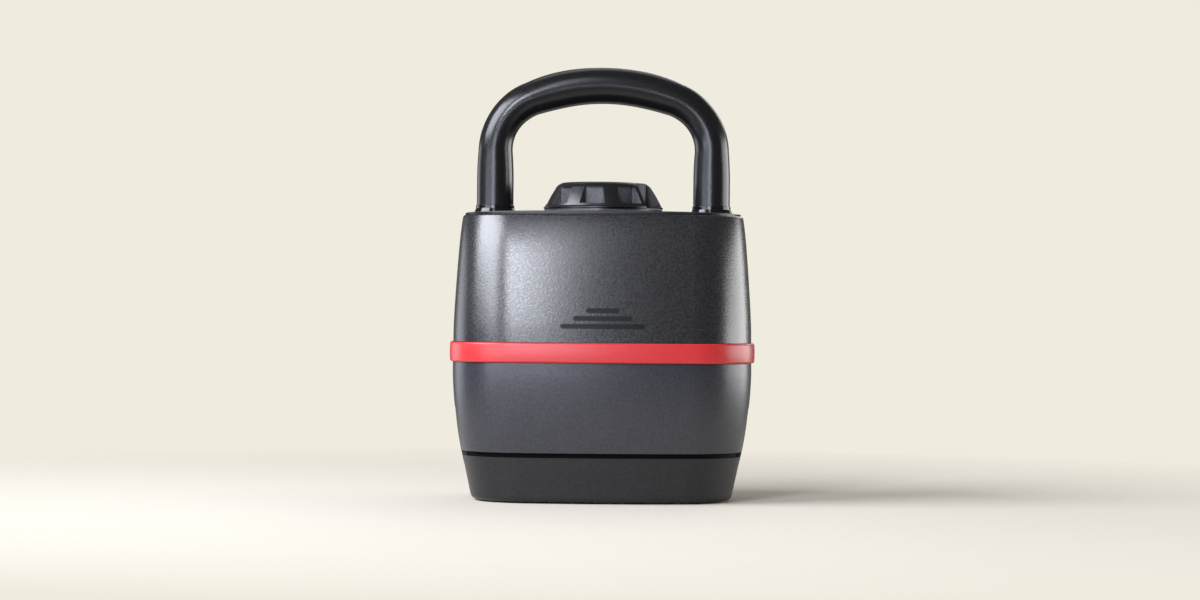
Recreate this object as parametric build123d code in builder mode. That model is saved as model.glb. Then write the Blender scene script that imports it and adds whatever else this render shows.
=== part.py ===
from build123d import *
from math import pi
import os

os.makedirs("parts", exist_ok=True)

# Adjustable kettlebell standing in its base. Millimetres, +Z up, front towards -Y.
# The origin is on the floor under the middle of the body.

# ---- body outline: (height, half width, half depth, corner radius) at each level ----
TRAY_LEVELS = [(1.0, 95.3, 72.2, 44.0), (33.0, 102.1, 78.5, 47.0)]
ARM_LEVELS = [(26.0, 100.6, 77.2, 46.0), (46.0, 104.8, 81.5, 47.0), (70.0, 107.5, 84.5, 48.0)]
LOWER_LEVELS = [
    (36.5, 103.0, 79.3, 47.0),
    (55.0, 106.1, 82.6, 48.0),
    (76.0, 108.6, 85.2, 49.0),
    (100.5, 109.4, 86.6, 50.0),
]
UPPER_LEVELS = [
    (115.5, 109.2, 86.4, 50.0),
    (140.0, 108.5, 81.8, 48.0),
    (175.0, 106.2, 73.6, 45.0),
    (200.5, 103.8, 64.9, 42.0),
    (207.4, 102.8, 61.4, 40.5),
]
BAND_LEVELS = [
    (100.8, 111.4, 88.5, 51.0),
    (108.0, 111.75, 88.9, 51.0),
    (115.2, 111.4, 88.5, 51.0),
]
SIDE_BOW = 0.06  # how far the left and right sides bow out, as a share of the half width
FRONT_BOW = 0.13  # the same for the front and back, as a share of the half depth

# ---- shells ----
SHELL_WALL = 3.0
TOP_ROUND = 2.0
BAND_ROUND = 1.4
LIP_INSET = 6.0
LIP_HEIGHT = 3.0
TONGUE_OUT = 3.6
TONGUE_IN = 6.4
TONGUE_LOW = 94.8
TONGUE_HIGH = 118.3
TONGUE_LEVELS = [(TONGUE_LOW, 109.2, 86.4, 50.0), (TONGUE_HIGH, 109.2, 86.4, 50.0)]
BOSS_X = 83.5
BOSS_Y = 59.5
BOSS_R = 6.0
BOSS_RIB = 8.0
LOWER_RIB_REACH = 9.0
UPPER_RIB_REACH = 10.2
BOSS_BOTTOM = 99.0
BOSS_SPLIT_LOW = 114.9
BOSS_SPLIT_HIGH = 115.5
BOSS_TOP = 132.0

# ---- base ----
TRAY_FLOOR_TOP = 5.0
TRAY_WALL = 4.0
TRAY_TOP = TRAY_LEVELS[-1][0]
TRAY_BOTTOM = TRAY_LEVELS[0][0]
REBATE_INSET = 2.6
REBATE_DEPTH = 3.0
RING_OUT = 2.7
RING_IN = 6.2
RING_TOP = LOWER_LEVELS[0][0]
ARM_THICKNESS = 4.0
ARM_HALF_Y = 34.0
ARM_TOP = 66.6
ARM_CORNER = 8.0
ARM_GAP = 0.8
ARM_TOP_GAP = 1.7
FOOT_X = 66.0
FOOT_Y = 42.0
FOOT_R = 9.0
FOOT_TOP = 3.4
CRADLE_TOP = 13.0
CRADLE_FLOOR = 2.5
CRADLE_HALF_W = 88.0
CRADLE_HALF_D = 64.0
CRADLE_CORNER = 42.0
PAD_X = 60.0
PAD_Y = 36.0
PAD_R = 8.0
BASE_SCREW_X = 36.0
BASE_SCREW_Y = 30.0
POST_R = 7.0
POST_FLANGE_R = 12.0

# ---- plate stack, plate 5 at the bottom; masses in kilograms ----
STACK_BOTTOM = 16.0
PLATE_KG = {5: 2.27, 4: 4.54, 3: 2.27, 2: 3.63, 1: 1.81}
PLATE_PITCH = {5: 21.5, 4: 40.0, 3: 21.5, 2: 32.0, 1: 19.0}
RIM_HALF_W = 91.0
RIM_HALF_D = 67.0
RIM_CORNER = 45.0
RIM_WALL = 4.0
RIM_LIP = 1.2
IRON_KG_PER_MM3 = 7.2e-6
STEEL_KG_PER_MM3 = 7.85e-6
PLASTIC_KG_PER_MM3 = 1.1e-6
HUB_IN = 27.0
HUB_OUT = 31.0
LUG_COUNT = 3
LUG_WIDTH = 3.6
LUG_IN = 19.5
LUG_BOTTOM = 13.5
LUG_HEIGHT = 4.0

# ---- selector spindle, cams and lock ----
SETTINGS = 6
SETTING_PITCH = 45.0
SPINDLE_R = 12.0
SPINDLE_BORE_R = 6.5
SPINDLE_BOTTOM = 18.0
SPINDLE_BORE_TOP = 204.0
SPINDLE_TOP = 223.6
CAM_CORE_R = 17.5
CAM_DOG_R = 25.5
CAM_DOG_WIDTH = 5.0
CAM_LOW = 7.0
CAM_HIGH = 15.0
DOG_LOW = 8.0
DOG_HEIGHT = 4.0
SPACER_R = 15.5
FIT = 0.1
RUNNING_FIT = 0.06
NUT_BOTTOM = 18.6
NUT_R = 17.0
ROD_R = 4.0
ROD_TOP = 188.0
PIN_R = 2.0
PIN_Z = 181.0
PIN_HALF = 27.0
LOCK_DROP = 6.0
LOCK_RING_IN = 18.5
LOCK_RING_OUT = 30.0
LOCK_RING_TOP = PIN_Z - PIN_R - 0.5
WHEEL_R = 24.0
WHEEL_BOTTOM = 190.0
WHEEL_TOP = 196.0
WHEEL_NOTCH_R = 3.2

# ---- chassis under the deck ----
CHASSIS_BOTTOM = 160.0
CHASSIS_TOP = 164.0
CHASSIS_HALF_W = 96.0
CHASSIS_HALF_D = 60.0
CHASSIS_CORNER = 28.0
BUSH_R = 16.0
STANDOFF_X = 52.0
STANDOFF_Y = 42.0
STANDOFF_R = 6.0
STANDOFF_BORE_R = 2.6
DECK_BOTTOM = 204.4
DECK_TOP = UPPER_LEVELS[-1][0]
COVER_TOP = 210.1
COVER_DOME_R = 4200.0
COVER_INSET = 1.6
GROOVE_INSET = 3.4
GROOVE_HEIGHT = 0.9

# ---- handle ----
LEG_X = 79.7
GRIP_R = 13.5
TUBE_R = 11.5
TUBE_BORE_R = 9.0
CORNER_X = 38.0
CORNER_Z = 255.05
CORNER_BEND_R = LEG_X - CORNER_X
APEX_Z = 317.5 - GRIP_R
CROWN_R = 144.9
COLLAR_BOTTOM = 208.9
COLLAR_BASE_R = 15.8
COLLAR_NECK_R = 14.1
COLLAR_CONE_TOP = 212.9
COLLAR_TOP = 215.3
COLLAR_ROUND = 0.35
PLUG_TOP = 190.0
HANDLE_BOLT_R = 4.0

# ---- dial ----
DIAL_BOTTOM = 213.1
DIAL_TOP = 232.0
DIAL_R = 44.0
DIAL_LIP_TOP = 213.8
DIAL_SIDE_R = 42.9
DIAL_SIDE_Z = 214.7
DIAL_SHOULDER_R = 35.9
DIAL_SHOULDER_Z = 227.2
DIAL_TOP_R = 30.0
DIAL_SIDE_BOW = 0.3
DIAL_SHOULDER_BOW = 0.72
WINDOW_ANGLE = -21.5  # from +X, anticlockwise seen from above
WINDOW_HALF = 22.5
WINDOW_FLOOR_R = 31.4
POCKETS = 8
POCKET_PITCH = 40.0
POCKET_FLOOR_R = 33.3
POCKET_HALF = 6.4
POCKET_FLARE = 0.39
POCKET_BOTTOM = 216.1
POCKET_TOP = 228.3
POCKET_ROUND = 1.5
CAVITY_IN = 15.0
CAVITY_OUT = 29.8
CAVITY_TOP = 226.0
CAP_R = 24.0
CAP_BOTTOM = 230.0
SCALE_R = 43.4
SCALE_TOP = 212.7
SCALE_SEAT = 209.3


def outline(sketch, half_w, half_d, corner):
    """Rounded rectangle with gently bowed sides."""
    edge_x = half_w * (1 - SIDE_BOW)
    edge_y = half_d * (1 - FRONT_BOW)
    with BuildLine() as sides:
        ThreePointArc((-edge_x, -edge_y), (0, -half_d), (edge_x, -edge_y))
        ThreePointArc((edge_x, -edge_y), (half_w, 0), (edge_x, edge_y))
        ThreePointArc((edge_x, edge_y), (0, half_d), (-edge_x, edge_y))
        ThreePointArc((-edge_x, edge_y), (-half_w, 0), (-edge_x, -edge_y))
    make_face(sides.edges())
    fillet(sketch.vertices(), corner)


def skin(levels, inset, mode=Mode.ADD):
    """Loft through the outlines at the given levels, moved inwards by the inset."""
    sections = []
    for height, half_w, half_d, corner in levels:
        with BuildSketch(Plane.XY.offset(height)) as level:
            outline(level, half_w - inset, half_d - inset, corner - inset)
        sections.append(level.sketch)
    loft(sections, mode=mode)


def slab(bottom, top, half_w, half_d, corner, mode=Mode.ADD):
    """Straight-sided block with the body's outline."""
    with BuildSketch(Plane.XY.offset(bottom)) as level:
        outline(level, half_w, half_d, corner)
    extrude(level.sketch, amount=top - bottom, mode=mode)


def tube(bottom, top, outer, inner=0.0, mode=Mode.ADD):
    """Round bar, or a tube when an inner radius is given."""
    tubes([(0, 0)], bottom, top, outer, inner, mode)


def tubes(spots, bottom, top, outer, inner=0.0, mode=Mode.ADD):
    """The same bar or tube at several spots."""
    with BuildSketch(Plane.XY.offset(bottom)) as rings:
        with Locations(*spots):
            Circle(outer)
            if inner:
                Circle(inner, mode=Mode.SUBTRACT)
    extrude(rings.sketch, amount=top - bottom, mode=mode)


def corners(x, y):
    """Four spots mirrored about both middle planes."""
    return [(x, y), (-x, y), (-x, -y), (x, -y)]


def save(built, label):
    built.part.label = label
    export_step(built.part, f"parts/{label}.step")


# =============================== base ===============================
base_spots = corners(BASE_SCREW_X, BASE_SCREW_Y) + [(0, 0)]
BASE_SCREW_HEAD_R = 3.5
BASE_SCREW_HEAD_LOW = 1.2
BASE_SCREW_HEAD_TOP = 3.2
BASE_SCREW_R = 1.5
BASE_SCREW_TOP = 11.0

with BuildPart() as side_arms:
    skin(ARM_LEVELS, 0.0)
    skin(ARM_LEVELS, ARM_THICKNESS, Mode.SUBTRACT)
    arm_drop = ARM_TOP - ARM_LEVELS[0][0]
    with BuildSketch(Plane.YZ):
        with Locations((0, ARM_TOP - arm_drop)):
            RectangleRounded(2 * ARM_HALF_Y, 2 * arm_drop, ARM_CORNER)
    extrude(amount=2 * LEG_X, both=True, mode=Mode.INTERSECT)

with BuildPart() as base_tray:
    skin(TRAY_LEVELS, 0.0)
    bottom_edges = base_tray.edges().group_by(Axis.Z)[0]
    fillet(bottom_edges, 4.5)
    inner_levels = [(TRAY_FLOOR_TOP, 96.2, 73.1, 44.4), TRAY_LEVELS[1]]
    skin(inner_levels, TRAY_WALL, Mode.SUBTRACT)
    slab(
        TRAY_TOP - REBATE_DEPTH,
        TRAY_TOP,
        TRAY_LEVELS[1][1] - REBATE_INSET,
        TRAY_LEVELS[1][2] - REBATE_INSET,
        TRAY_LEVELS[1][3] - REBATE_INSET,
        Mode.SUBTRACT,
    )
    add(side_arms.part)
    tubes(corners(FOOT_X, FOOT_Y), TRAY_BOTTOM, FOOT_TOP, FOOT_R + FIT, mode=Mode.SUBTRACT)
    tubes(base_spots, TRAY_BOTTOM, BASE_SCREW_HEAD_TOP, BASE_SCREW_HEAD_R + 0.2, mode=Mode.SUBTRACT)
    tubes(base_spots, BASE_SCREW_HEAD_TOP, TRAY_FLOOR_TOP, BASE_SCREW_R + FIT, mode=Mode.SUBTRACT)
save(base_tray, "base_tray")

with BuildPart() as base_seat_ring:
    top_w, top_d, top_c = TRAY_LEVELS[1][1:]
    ring_bottom = TRAY_TOP - REBATE_DEPTH
    slab(ring_bottom, RING_TOP, top_w - RING_OUT, top_d - RING_OUT, top_c - RING_OUT)
    slab(ring_bottom, RING_TOP, top_w - RING_IN, top_d - RING_IN, top_c - RING_IN, Mode.SUBTRACT)
    with BuildSketch(Plane.XY.offset(ring_bottom)):
        with Locations((top_w, 0), (-top_w, 0)):
            Rectangle(2 * (ARM_THICKNESS + RING_OUT), 2 * (ARM_HALF_Y + ARM_GAP))
    extrude(amount=RING_TOP - ring_bottom, mode=Mode.SUBTRACT)
save(base_seat_ring, "base_seat_ring")

with BuildPart() as base_cradle:
    slab(TRAY_FLOOR_TOP, CRADLE_TOP, CRADLE_HALF_W, CRADLE_HALF_D, CRADLE_CORNER)
    wall = 3.0
    slab(
        TRAY_FLOOR_TOP + CRADLE_FLOOR,
        CRADLE_TOP,
        CRADLE_HALF_W - wall,
        CRADLE_HALF_D - wall,
        CRADLE_CORNER - wall,
        Mode.SUBTRACT,
    )
    rib_height = CRADLE_TOP - TRAY_FLOOR_TOP - CRADLE_FLOOR - 1.0
    with BuildSketch(Plane.XY.offset(TRAY_FLOOR_TOP + CRADLE_FLOOR)):
        with Locations((0, BASE_SCREW_Y), (0, -BASE_SCREW_Y)):
            Rectangle(2 * CRADLE_HALF_W - 3 * wall, wall)
        with Locations((BASE_SCREW_X, 0), (-BASE_SCREW_X, 0)):
            Rectangle(wall, 2 * CRADLE_HALF_D - 3 * wall)
        with Locations(*corners(BASE_SCREW_X, BASE_SCREW_Y)):
            Circle(5.0)
    extrude(amount=rib_height)
    tubes(corners(PAD_X, PAD_Y), TRAY_FLOOR_TOP + CRADLE_FLOOR, CRADLE_TOP, PAD_R + 2.0)
    tube(TRAY_FLOOR_TOP, CRADLE_TOP, POST_FLANGE_R + 0.3, mode=Mode.SUBTRACT)
    tubes(
        corners(BASE_SCREW_X, BASE_SCREW_Y),
        TRAY_FLOOR_TOP,
        BASE_SCREW_TOP + 0.3,
        BASE_SCREW_R + FIT,
        mode=Mode.SUBTRACT,
    )
save(base_cradle, "base_cradle")

with BuildPart() as cradle_pads:
    tubes(corners(PAD_X, PAD_Y), CRADLE_TOP, STACK_BOTTOM, PAD_R)
save(cradle_pads, "cradle_pads")

with BuildPart() as base_post:
    tube(TRAY_FLOOR_TOP, TRAY_FLOOR_TOP + 3.0, POST_FLANGE_R)
    tube(TRAY_FLOOR_TOP, STACK_BOTTOM, POST_R)
    tube(TRAY_FLOOR_TOP, BASE_SCREW_TOP + 0.3, BASE_SCREW_R + FIT, mode=Mode.SUBTRACT)
save(base_post, "base_post")

with BuildPart() as base_feet:
    tubes(corners(FOOT_X, FOOT_Y), 0.0, FOOT_TOP, FOOT_R)
save(base_feet, "base_feet")

with BuildPart() as base_screws:
    tubes(base_spots, BASE_SCREW_HEAD_LOW, BASE_SCREW_HEAD_TOP, BASE_SCREW_HEAD_R)
    tubes(base_spots, BASE_SCREW_HEAD_TOP, BASE_SCREW_TOP, BASE_SCREW_R)
save(base_screws, "base_screws")

# =============================== bell shells ===============================
SHELL_SCREW_R = 1.8
SHELL_SCREW_HEAD_R = 3.8
SHELL_SCREW_HEAD_LOW = 96.0
SHELL_SCREW_TOP = 128.0
boss_spots = corners(BOSS_X, BOSS_Y)


def bosses(bottom, top, radius, rib, reach, mode=Mode.ADD):
    """Screw bosses, each tied to the shell's corner by a rib running outwards at 45 degrees."""
    with BuildSketch(Plane.XY.offset(bottom)) as plan:
        for x, y in boss_spots:
            side_x = x / BOSS_X
            side_y = y / BOSS_Y
            lean = 45 * side_x * side_y
            with Locations((x, y)):
                Circle(radius)
            with Locations((x + side_x * reach / 2**1.5, y + side_y * reach / 2**1.5)):
                Rectangle(reach, rib, rotation=lean)
    extrude(plan.sketch, amount=top - bottom, mode=mode)


# wall behind each arm, set inwards so that the arm stands in a recess
RECESS_WALL = 2.6
recess_half_y = ARM_HALF_Y + ARM_GAP
recess_top = ARM_TOP + ARM_TOP_GAP
recess_inset = ARM_THICKNESS + ARM_GAP
with BuildPart() as recess_frames:
    skin(LOWER_LEVELS, 1.0)
    skin(LOWER_LEVELS, recess_inset + 1.4 + RECESS_WALL, Mode.SUBTRACT)
    frame_drop = recess_top + RECESS_WALL
    with BuildSketch(Plane.YZ):
        Rectangle(2 * (recess_half_y + RECESS_WALL), 2 * frame_drop)
    extrude(amount=2 * LEG_X, both=True, mode=Mode.INTERSECT)

with BuildPart() as recess_cut:
    slab(ARM_LEVELS[0][0], ARM_LEVELS[-1][0], 125.0, 110.0, 50.0)
    skin(ARM_LEVELS, recess_inset, Mode.SUBTRACT)
    with BuildSketch(Plane.YZ):
        Rectangle(2 * recess_half_y, 2 * recess_top)
    extrude(amount=2 * LEG_X, both=True, mode=Mode.INTERSECT)

with BuildPart() as lower_shell:
    skin(LOWER_LEVELS, 0.0)
    skin(LOWER_LEVELS, SHELL_WALL, Mode.SUBTRACT)
    low_z, low_w, low_d, low_c = LOWER_LEVELS[0]
    slab(low_z, low_z + LIP_HEIGHT, low_w - 1.0, low_d - 1.0, low_c - 1.0)
    slab(
        low_z,
        low_z + LIP_HEIGHT,
        low_w - LIP_INSET,
        low_d - LIP_INSET,
        low_c - LIP_INSET,
        Mode.SUBTRACT,
    )
    skin(TONGUE_LEVELS, TONGUE_OUT)
    ledge_w, ledge_d, ledge_c = TONGUE_LEVELS[0][1:]
    slab(TONGUE_LOW, LOWER_LEVELS[-1][0], ledge_w - 2.0, ledge_d - 2.0, ledge_c - 2.0)
    skin(TONGUE_LEVELS, TONGUE_IN, Mode.SUBTRACT)
    clear_rib = BOSS_RIB + 1.6
    clear_reach = UPPER_RIB_REACH + 2.0
    bosses(BOSS_SPLIT_LOW, TONGUE_HIGH, BOSS_R + 0.8, clear_rib, clear_reach, Mode.SUBTRACT)
    bosses(BOSS_BOTTOM, BOSS_SPLIT_LOW, BOSS_R, BOSS_RIB, LOWER_RIB_REACH)
    add(recess_frames.part)
    add(recess_cut.part, mode=Mode.SUBTRACT)
    tubes(boss_spots, BOSS_BOTTOM, BOSS_SPLIT_LOW, SHELL_SCREW_R + FIT, mode=Mode.SUBTRACT)
save(lower_shell, "lower_shell")

with BuildPart() as band:
    skin(BAND_LEVELS, 0.0)
    rim_edges = band.edges().group_by(Axis.Z)[0] + band.edges().group_by(Axis.Z)[-1]
    fillet(rim_edges, BAND_ROUND)
    band_low = BAND_LEVELS[0][0]
    band_high = BAND_LEVELS[-1][0]
    bore_w, bore_d, bore_c = TONGUE_LEVELS[0][1:]
    bore_inset = TONGUE_OUT - FIT
    slab(band_low, band_high, bore_w - bore_inset, bore_d - bore_inset, bore_c - bore_inset, Mode.SUBTRACT)
save(band, "band")

with BuildPart() as upper_cavity:
    skin(UPPER_LEVELS, SHELL_WALL)
    slab(DECK_BOTTOM, DECK_TOP, 120.0, 100.0, 50.0, Mode.SUBTRACT)

with BuildPart() as upper_shell:
    skin(UPPER_LEVELS, 0.0)
    deck_edges = upper_shell.edges().group_by(Axis.Z)[-1]
    fillet(deck_edges, TOP_ROUND)
    add(upper_cavity.part, mode=Mode.SUBTRACT)
    bosses(BOSS_SPLIT_HIGH, BOSS_TOP, BOSS_R, BOSS_RIB, UPPER_RIB_REACH)
    tubes(boss_spots, BOSS_SPLIT_HIGH, SHELL_SCREW_TOP + 0.5, SHELL_SCREW_R + FIT, mode=Mode.SUBTRACT)
    tube(DECK_BOTTOM, DECK_TOP, SPINDLE_R + 1.0, mode=Mode.SUBTRACT)
    tubes([(LEG_X, 0), (-LEG_X, 0)], DECK_BOTTOM, DECK_TOP, TUBE_R + FIT, mode=Mode.SUBTRACT)
    deck_spots = corners(STANDOFF_X, STANDOFF_Y)
    tubes(deck_spots, DECK_BOTTOM, DECK_TOP, STANDOFF_BORE_R, mode=Mode.SUBTRACT)
    tubes(deck_spots, DECK_TOP - 2.0, DECK_TOP, 4.7, mode=Mode.SUBTRACT)
save(upper_shell, "upper_shell")

with BuildPart() as shell_screws:
    tubes(boss_spots, SHELL_SCREW_HEAD_LOW, BOSS_BOTTOM, SHELL_SCREW_HEAD_R)
    tubes(boss_spots, BOSS_BOTTOM, SHELL_SCREW_TOP, SHELL_SCREW_R)
save(shell_screws, "shell_screws")

deck_w, deck_d, deck_c = UPPER_LEVELS[-1][1:]
with BuildPart() as cover_plate:
    slab(
        DECK_TOP,
        DECK_TOP + GROOVE_HEIGHT,
        deck_w - GROOVE_INSET,
        deck_d - GROOVE_INSET,
        deck_c - GROOVE_INSET,
    )
    slab(
        DECK_TOP + GROOVE_HEIGHT,
        COVER_TOP,
        deck_w - COVER_INSET,
        deck_d - COVER_INSET,
        deck_c - COVER_INSET,
    )
    # the top is a very shallow dome, highest under the dial
    with Locations((0, 0, COVER_TOP - COVER_DOME_R)):
        Cylinder(COVER_DOME_R, 4 * deck_d, rotation=(90, 0, 0), mode=Mode.INTERSECT)
    fillet(cover_plate.edges().group_by(Axis.Z)[-1], 0.3)
    tube(SCALE_SEAT, COVER_TOP, SCALE_R + FIT, mode=Mode.SUBTRACT)
    tube(DECK_TOP, COVER_TOP, SPINDLE_R + 1.0, mode=Mode.SUBTRACT)
    tubes([(LEG_X, 0), (-LEG_X, 0)], COLLAR_BOTTOM, COVER_TOP, COLLAR_BASE_R + FIT, mode=Mode.SUBTRACT)
    tubes([(LEG_X, 0), (-LEG_X, 0)], DECK_TOP, COVER_TOP, GRIP_R + FIT, mode=Mode.SUBTRACT)
save(cover_plate, "cover_plate")

with BuildPart() as scale_ring:
    tube(SCALE_SEAT, SCALE_TOP, SCALE_R, SPINDLE_R + 1.0)
    fillet(scale_ring.edges().filter_by(GeomType.CIRCLE).sort_by(SortBy.RADIUS)[-1], 0.3)
save(scale_ring, "scale_ring")

# =============================== chassis ===============================
HANDLE_HOLE_R = 4.2
LEG_SPOTS = [(LEG_X, 0), (-LEG_X, 0)]
BLOCK_X = 36.0
BLOCK_Y = 31.0
BLOCK_SIZE = 11.0
BLOCK_TOP = 198.0

with BuildPart() as chassis_plate:
    slab(CHASSIS_BOTTOM, CHASSIS_TOP, CHASSIS_HALF_W, CHASSIS_HALF_D, CHASSIS_CORNER)
    tube(CHASSIS_BOTTOM, CHASSIS_TOP, BUSH_R + FIT, mode=Mode.SUBTRACT)
    tubes(LEG_SPOTS, CHASSIS_BOTTOM, CHASSIS_TOP, HANDLE_HOLE_R, mode=Mode.SUBTRACT)
    standoff_spots = corners(STANDOFF_X, STANDOFF_Y)
    tubes(standoff_spots, CHASSIS_BOTTOM, CHASSIS_TOP, STANDOFF_BORE_R, mode=Mode.SUBTRACT)
save(chassis_plate, "chassis_plate")

with BuildPart() as standoffs:
    tubes(standoff_spots, CHASSIS_TOP, DECK_BOTTOM, STANDOFF_R, STANDOFF_BORE_R)
save(standoffs, "standoffs")

STANDOFF_SCREW_R = 2.5
STANDOFF_HEAD_R = 4.5
STANDOFF_HEAD = 1.9
STANDOFF_SCREW = 12.0
with BuildPart() as standoff_screws:
    head_low = CHASSIS_BOTTOM - STANDOFF_HEAD
    deck_seat = DECK_TOP - STANDOFF_HEAD
    tubes(standoff_spots, head_low, CHASSIS_BOTTOM, STANDOFF_HEAD_R)
    tubes(standoff_spots, CHASSIS_BOTTOM, CHASSIS_BOTTOM + STANDOFF_SCREW, STANDOFF_SCREW_R)
    tubes(standoff_spots, deck_seat, DECK_TOP - 0.1, STANDOFF_HEAD_R)
    tubes(standoff_spots, deck_seat - STANDOFF_SCREW, deck_seat, STANDOFF_SCREW_R)
save(standoff_screws, "standoff_screws")

with BuildPart() as bearing_bush:
    tube(CHASSIS_BOTTOM - 2.0, CHASSIS_TOP + 2.0, BUSH_R)
    tube(CHASSIS_TOP, CHASSIS_TOP + 2.0, BUSH_R + 1.8)
    tube(CHASSIS_BOTTOM - 2.0, CHASSIS_TOP + 2.0, SPINDLE_R + RUNNING_FIT, mode=Mode.SUBTRACT)
save(bearing_bush, "bearing_bush")

THRUST_TOP = CHASSIS_TOP + 3.6
with BuildPart() as thrust_washer:
    tube(CHASSIS_TOP + 2.0, THRUST_TOP, BUSH_R + 1.4, SPINDLE_R + 0.4)
save(thrust_washer, "thrust_washer")

with BuildPart() as lock_ring:
    tube(CHASSIS_TOP, LOCK_RING_TOP, LOCK_RING_OUT, LOCK_RING_IN)
    notch_mid = (LOCK_RING_IN + LOCK_RING_OUT) / 2
    with BuildSketch(Plane.XY.offset(LOCK_RING_TOP)):
        with PolarLocations(notch_mid, int(360 / SETTING_PITCH)):
            Rectangle(2 * (LOCK_RING_OUT - LOCK_RING_IN), 2 * PIN_R + 0.8)
    extrude(amount=-LOCK_DROP, mode=Mode.SUBTRACT)
save(lock_ring, "lock_ring")

LEAF = 0.8
LEAF_Y = 31.0
with BuildPart() as detent_block:
    with BuildSketch(Plane.XY.offset(CHASSIS_TOP)):
        with Locations((BLOCK_X, BLOCK_Y)):
            RectangleRounded(BLOCK_SIZE, BLOCK_SIZE, 1.5)
    extrude(amount=BLOCK_TOP - CHASSIS_TOP)
    with BuildSketch(Plane.XY.offset(WHEEL_BOTTOM - 0.2)):
        with Locations((BLOCK_X, LEAF_Y)):
            Rectangle(BLOCK_SIZE + 1.0, LEAF + 0.2)
    extrude(amount=BLOCK_TOP - WHEEL_BOTTOM + 1.0, mode=Mode.SUBTRACT)
save(detent_block, "detent_block")

with BuildPart() as detent_spring:
    with BuildSketch(Plane.XY.offset(WHEEL_BOTTOM)):
        with BuildLine() as leaf_path:
            nose = [(1.2, WHEEL_R + 0.3), (-1.2, WHEEL_R + 0.3)]
            tail = [(-5.5, LEAF_Y), (-10.0, LEAF_Y + 1.5)]
            Polyline((BLOCK_X + 5.0, LEAF_Y), (5.5, LEAF_Y), *nose, *tail)
        trace(line_width=LEAF)
    extrude(amount=WHEEL_TOP - WHEEL_BOTTOM)
save(detent_spring, "detent_spring")

# =============================== handle ===============================
crown_z = APEX_Z - CROWN_R
lean = (CORNER_Z - crown_z) / (CROWN_R - CORNER_BEND_R)
reach = CORNER_X / (CROWN_R - CORNER_BEND_R)
meet = (reach * CROWN_R, crown_z + lean * CROWN_R)
half_lean = (1 + reach) / 2
mid_len = (half_lean**2 + (lean / 2) ** 2) ** 0.5
bend_mid = (
    CORNER_X + CORNER_BEND_R * half_lean / mid_len,
    CORNER_Z + CORNER_BEND_R * lean / 2 / mid_len,
)


def handle_path(foot):
    """Centreline of the handle from one foot to the other, in the X-Z plane."""
    Line((-LEG_X, foot), (-LEG_X, CORNER_Z))
    ThreePointArc((-LEG_X, CORNER_Z), (-bend_mid[0], bend_mid[1]), (-meet[0], meet[1]))
    ThreePointArc((-meet[0], meet[1]), (0, APEX_Z), meet)
    ThreePointArc(meet, bend_mid, (LEG_X, CORNER_Z))
    Line((LEG_X, CORNER_Z), (LEG_X, foot))


def handle_bar(foot, outer, inner):
    with BuildLine(Plane.XZ) as centreline:
        handle_path(foot)
    with BuildSketch(Plane.XY.offset(foot)) as section:
        with Locations((-LEG_X, 0)):
            Circle(outer)
            Circle(inner, mode=Mode.SUBTRACT)
    sweep(section.sketch, path=centreline.wire())


with BuildPart() as handle_tube:
    handle_bar(CHASSIS_TOP + 0.05, TUBE_R, TUBE_BORE_R)
save(handle_tube, "handle_tube")

with BuildPart() as handle_grip:
    handle_bar(DECK_TOP + 0.2, GRIP_R, TUBE_R)
save(handle_grip, "handle_grip")

with BuildPart() as handle_collars:
    with Locations((LEG_X, 0, COLLAR_BOTTOM), (-LEG_X, 0, COLLAR_BOTTOM)):
        Cone(
            COLLAR_BASE_R,
            COLLAR_NECK_R,
            COLLAR_CONE_TOP - COLLAR_BOTTOM,
            align=(Align.CENTER, Align.CENTER, Align.MIN),
        )
    tubes(LEG_SPOTS, COLLAR_CONE_TOP, COLLAR_TOP, COLLAR_NECK_R)
    fillet(handle_collars.edges().group_by(Axis.Z)[-1], COLLAR_ROUND)
    tubes(LEG_SPOTS, COLLAR_BOTTOM, COLLAR_TOP, GRIP_R + FIT, mode=Mode.SUBTRACT)
save(handle_collars, "handle_collars")

with BuildPart() as handle_plugs:
    tubes(LEG_SPOTS, CHASSIS_TOP, PLUG_TOP, TUBE_BORE_R - FIT, HANDLE_BOLT_R + FIT)
save(handle_plugs, "handle_plugs")

HANDLE_HEAD = 5.0
with BuildPart() as handle_bolts:
    with BuildSketch(Plane.XY.offset(CHASSIS_BOTTOM - HANDLE_HEAD)):
        with Locations(*LEG_SPOTS):
            RegularPolygon(7.5, 6)
    extrude(amount=HANDLE_HEAD)
    tubes(LEG_SPOTS, CHASSIS_BOTTOM, PLUG_TOP - 3.0, HANDLE_BOLT_R)
save(handle_bolts, "handle_bolts")

# =============================== selector ===============================
with BuildPart() as spindle:
    tube(SPINDLE_BOTTOM, SPINDLE_TOP, SPINDLE_R)
    tube(THRUST_TOP + 0.1, THRUST_TOP + 2.6, BUSH_R + 1.0)
    tube(SPINDLE_BOTTOM, SPINDLE_BORE_TOP, SPINDLE_BORE_R, mode=Mode.SUBTRACT)
    slot_low = PIN_Z - LOCK_DROP - PIN_R - 0.4
    slot_high = PIN_Z + PIN_R + 0.4
    with BuildSketch(Plane.XY.offset(slot_low)):
        Rectangle(3 * SPINDLE_R, 2 * PIN_R + 0.4)
    extrude(amount=slot_high - slot_low, mode=Mode.SUBTRACT)
    tube(SPINDLE_TOP - 12.0, SPINDLE_TOP, STANDOFF_BORE_R, mode=Mode.SUBTRACT)
save(spindle, "spindle")

with BuildPart() as rod_bush:
    tube(SPINDLE_BOTTOM, SPINDLE_BOTTOM + 12.0, SPINDLE_BORE_R - RUNNING_FIT, ROD_R + RUNNING_FIT)
save(rod_bush, "rod_bush")

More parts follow.
